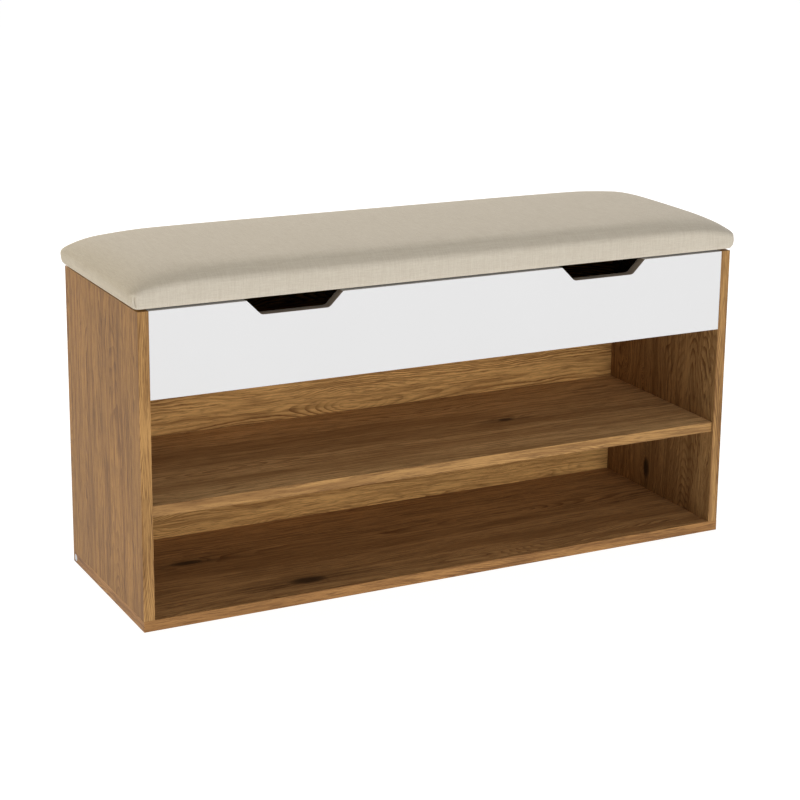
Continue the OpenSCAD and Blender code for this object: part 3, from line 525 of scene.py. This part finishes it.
def corner_round(x, y, half_x, half_y, radius):
    """Moves a point of a rectangle to the same place in one with round corners."""
    cx, cy = half_x - radius, half_y - radius
    if abs(x) <= cx or abs(y) <= cy:
        return x, y
    u, v = (abs(x) - cx) / radius, (abs(y) - cy) / radius
    u, v = u * math.sqrt(1 - v * v / 2), v * math.sqrt(1 - u * u / 2)
    return math.copysign(cx + u * radius, x), math.copysign(cy + v * radius, y)


PAD_EDGE = 0.014               # radius of the pad's corners where it is widest
BASE_EDGE = 0.0080             # and at its lower edge
PLEAT = 0.0030                 # depth of the crease at each corner, shallow again at the lower edge
# how far each point moves out, in PLEAT depths, counted from the corner toward the long side
PLEAT_SHAPE = ((-1, 0.3), (0, 0.5), (1, -1.0), (2, 0.35), (3, 0.1))
CLOTH_FRAMES = 20
SWELL_PASSES = 90              # even the simulated swelling out over the pad
SWELL_KEPT = 0.4               # share of a point's own swelling kept in each pass
SWELL_CAP = 0.005              # most that the pad swells, and the room left for it above the crown


def build_pad():
    """The upholstered seat: crowned top, soft shoulders, bulging sides, and a hem turned under the board.

    Returns the pad, the number of points down to its lower edge, the rings of points down its sides,
    and where the corners are in each ring.
    """
    cover_lo, cover_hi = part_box("seat_cover")
    board_lo, board_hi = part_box("lid_board")
    slack = 0.0004
    mid_x, mid_y = (cover_lo.x + cover_hi.x) / 2, (cover_lo.y + cover_hi.y) / 2
    base_x = (cover_hi.x - cover_lo.x) / 2 - SKIN
    base_y = (cover_hi.y - cover_lo.y) / 2 - SKIN
    belly_x, belly_y = 0.0055, 0.0012
    wide_x, wide_y = base_x + belly_x, base_y + belly_y
    under = cover_lo.z
    crown = cover_hi.z - SWELL_CAP
    end_line, front_line, seam_lift = 0.0185, 0.0250, 0.002
    end_ease, side_ease = 0.075, 0.030
    end_run, front_run, rear_run = 0.050, 0.036, 0.034
    end_fall, end_fall_run = 0.0050, 0.120
    side_fall, side_fall_run = 0.0016, 0.075

    xs = stations(wide_x, PAD_EDGE, 9, 46)
    ys = stations(wide_y, PAD_EDGE, 9, 17)
    count_x, count_y = len(xs), len(ys)

    def widest(x, y):
        """Height of the line where the sides are widest: low at the ends, higher along the front."""
        from_end = soft((wide_x - abs(x)) / end_ease)
        from_side = soft((wide_y - abs(y)) / side_ease)
        rise = (front_line - end_line) * from_end + seam_lift * (1 - from_side) * from_end
        return under + end_line + rise

    def top(x, y):
        """Height of the top: round shoulders of the given runs, and a slow fall to every edge."""
        to_end = wide_x - abs(x)
        to_side = wide_y - abs(y)
        run = front_run if y < 0 else rear_run
        a = max(0.0, 1 - to_end / end_run)
        b = max(0.0, 1 - to_side / run)
        rise = math.sqrt(max(0.0, (1 - a * a) * (1 - b * b)))
        fall = (end_fall * (1 - soft(to_end / end_fall_run))
                + side_fall * (1 - soft(to_side / side_fall_run)))
        base = widest(x, y)
        return base + (crown - fall - base) * rise

    verts, index, faces = [], {}, []
    for i, x in enumerate(xs):
        for j, y in enumerate(ys):
            px, py = corner_round(x, y, wide_x, wide_y, PAD_EDGE)
            index[i, j] = len(verts)
            verts.append((mid_x + px, mid_y + py, top(x, y)))
    faces.extend((index[i, j], index[i + 1, j], index[i + 1, j + 1], index[i, j + 1])
                 for i in range(count_x - 1) for j in range(count_y - 1))

    ring = ([(i, 0) for i in range(count_x)] + [(count_x - 1, j) for j in range(1, count_y)]
            + [(i, count_y - 1) for i in range(count_x - 2, -1, -1)]
            + [(0, j) for j in range(count_y - 2, 0, -1)])
    above = [index[k] for k in ring]

    def next_ring(above, points):
        """Adds a ring of points below another, and the faces between them."""
        start = len(verts)
        verts.extend(points)
        below = list(range(start, start + len(points)))
        n = len(points)
        for k in range(n):
            faces.append((above[k], below[k], below[(k + 1) % n], above[(k + 1) % n]))
        return below

    def outline(half_x, half_y, radius):
        """The ring's places on a smaller rounded rectangle."""
        return [corner_round(xs[i] * half_x / wide_x, ys[j] * half_y / wide_y, half_x, half_y, radius)
                for i, j in ring]

    # sides: an upright quarter ellipse from the widest line in to the lower edge
    rows = 10
    edge_round = 0.0022
    low = under + edge_round
    wide_ring = [(verts[k][0] - mid_x, verts[k][1] - mid_y, verts[k][2]) for k in above]
    base_ring = outline(base_x, base_y, BASE_EDGE)
    corners = [k for k, (i, j) in enumerate(ring) if i in (0, count_x - 1) and j in (0, count_y - 1)]

    side_rings = []
    for row in range(1, rows + 1):
        share = row / rows
        inward = 1 - math.sqrt(1 - share ** 2)
        above = next_ring(above, [
            (mid_x + x + (bx - x) * inward, mid_y + y + (by - y) * inward, z + (low - z) * share)
            for (x, y, z), (bx, by) in zip(wide_ring, base_ring)])
        side_rings.append(above)
    sides_end = len(verts)

    def flat_ring(above, inset, z):
        """The next ring, level, and this far in from the lower edge."""
        least_round = 0.001
        places = outline(base_x - inset, base_y - inset, max(least_round, BASE_EDGE - inset))
        return next_ring(above, [(mid_x + x, mid_y + y, z) for x, y in places])

    above = flat_ring(above, edge_round * 0.3, under + edge_round * 0.3)
    above = flat_ring(above, edge_round, under)
    hem = 0.030
    above = flat_ring(above, hem * 0.5, under)
    above = flat_ring(above, hem, under)
    above = flat_ring(above, hem, board_lo.z - slack)
    pocket = base_x - (board_hi.x - board_lo.x) / 2 - slack
    above = flat_ring(above, pocket, board_lo.z - slack)
    above = flat_ring(above, pocket, board_hi.z + slack)
    # the foam's underside, on the board
    lookup = dict(zip(ring, above))
    fit_x, fit_y = (base_x - pocket) / wide_x, (base_y - pocket) / wide_y
    for i in range(1, count_x - 1):
        for j in range(1, count_y - 1):
            lookup[i, j] = len(verts)
            verts.append((mid_x + xs[i] * fit_x, mid_y + ys[j] * fit_y, board_hi.z + slack))
    faces.extend((lookup[i, j], lookup[i, j + 1], lookup[i + 1, j + 1], lookup[i + 1, j])
                 for i in range(count_x - 1) for j in range(count_y - 1))

    mesh = bpy.data.meshes.new("seat_pad")
    mesh.from_pydata(verts, [], faces)
    mesh.validate()
    mesh.update()
    pad = bpy.data.objects.new("seat_pad", mesh)
    bpy.context.scene.collection.objects.link(pad)
    return pad, sides_end, side_rings, corners


def add_pleats(pad, side_rings, corners):
    """The fold at each corner, laid round from the end, and the crease it leaves on the long side."""
    vertices = pad.data.vertices
    middle = sum((vertices[k].co for k in side_rings[0]), Vector()) / len(side_rings[0])
    for row, ring in enumerate(side_rings, 1):
        share = row / len(side_rings)
        depth = PLEAT * soft(share * 2.5) * (1 - 0.75 * soft((share - 0.85) / 0.15))
        for k in corners:
            corner = vertices[ring[k]].co - middle
            out = Vector((math.copysign(1, corner.x), math.copysign(1, corner.y), 0)).normalized()
            toward_long_side = 1 if out.x * out.y > 0 else -1
            for step, part in PLEAT_SHAPE:
                vertices[ring[(k + step * toward_long_side) % len(ring)]].co += out * depth * part
    pad.data.update()


def inflate(pad, sides_end):
    """Cloth simulation: the fabric swells between its pinned lower edge and the pull of the foam.

    Only the outward part is kept, evened out over the mesh and held under SWELL_CAP.
    """
    mesh = pad.data

    def read(vertices, what):
        values = np.empty(len(vertices) * 3)
        vertices.foreach_get(what, values)
        return values.reshape(-1, 3)

    start = read(mesh.vertices, "co")
    pinned_height = start[:, 2].min() + 0.005
    pinned = [i for i, co in enumerate(start) if co[2] < pinned_height or i >= sides_end]
    group = pad.vertex_groups.new(name="pinned")
    group.add(pinned, 1.0, "REPLACE")
    cloth = pad.modifiers.new("cloth", "CLOTH")
    settings = cloth.settings
    settings.quality = 5
    settings.mass = 0.3
    settings.tension_stiffness = 40
    settings.compression_stiffness = 40
    settings.shear_stiffness = 20
    settings.bending_stiffness = 4.0
    settings.vertex_group_mass = "pinned"
    settings.use_pressure = True
    settings.uniform_pressure_force = 4.0
    settings.effector_weights.gravity = 0.0
    cloth.collision_settings.use_collision = False
    cloth.collision_settings.use_self_collision = False
    cloth.point_cache.frame_start = 1
    cloth.point_cache.frame_end = CLOTH_FRAMES
    scene = bpy.context.scene
    for at in range(1, CLOTH_FRAMES + 1):
        scene.frame_set(at)
    evaluated = pad.evaluated_get(bpy.context.evaluated_depsgraph_get())
    outward = read(mesh.vertices, "normal")
    swell = np.maximum(0.0, np.sum((read(evaluated.data.vertices, "co") - start) * outward, axis=1))

    edges = np.empty(len(mesh.edges) * 2, dtype=np.int64)
    mesh.edges.foreach_get("vertices", edges)
    one, other = edges.reshape(-1, 2).T
    points = len(start)
    neighbours = np.bincount(one, minlength=points) + np.bincount(other, minlength=points)
    swell[pinned] = 0.0
    for _ in range(SWELL_PASSES):
        around = np.bincount(one, swell[other], points) + np.bincount(other, swell[one], points)
        swell = SWELL_KEPT * swell + (1 - SWELL_KEPT) * around / neighbours
        swell[pinned] = 0.0
    kept = SWELL_CAP * np.tanh(swell / SWELL_CAP)
    pad.modifiers.remove(cloth)
    pad.vertex_groups.remove(group)
    scene.frame_set(1)
    mesh.vertices.foreach_set("co", (start + outward * kept[:, None]).ravel())
    mesh.update()


def add_seat():
    pad, sides_end, side_rings, corners = build_pad()
    inflate(pad, sides_end)
    add_pleats(pad, side_rings, corners)
    subdivide = pad.modifiers.new("smooth", "SUBSURF")
    subdivide.levels = 1
    subdivide.render_levels = 1
    for polygon in pad.data.polygons:
        polygon.use_smooth = True
    pad.data.materials.append(linen("linen_weave", srgb(218, 209, 192), srgb(205, 194, 176)))
    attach(pad, "lid")
    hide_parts("seat_cover", "seat_foam")


add_camera()
add_studio()
add_wood()
add_hardware_looks()
add_seat()
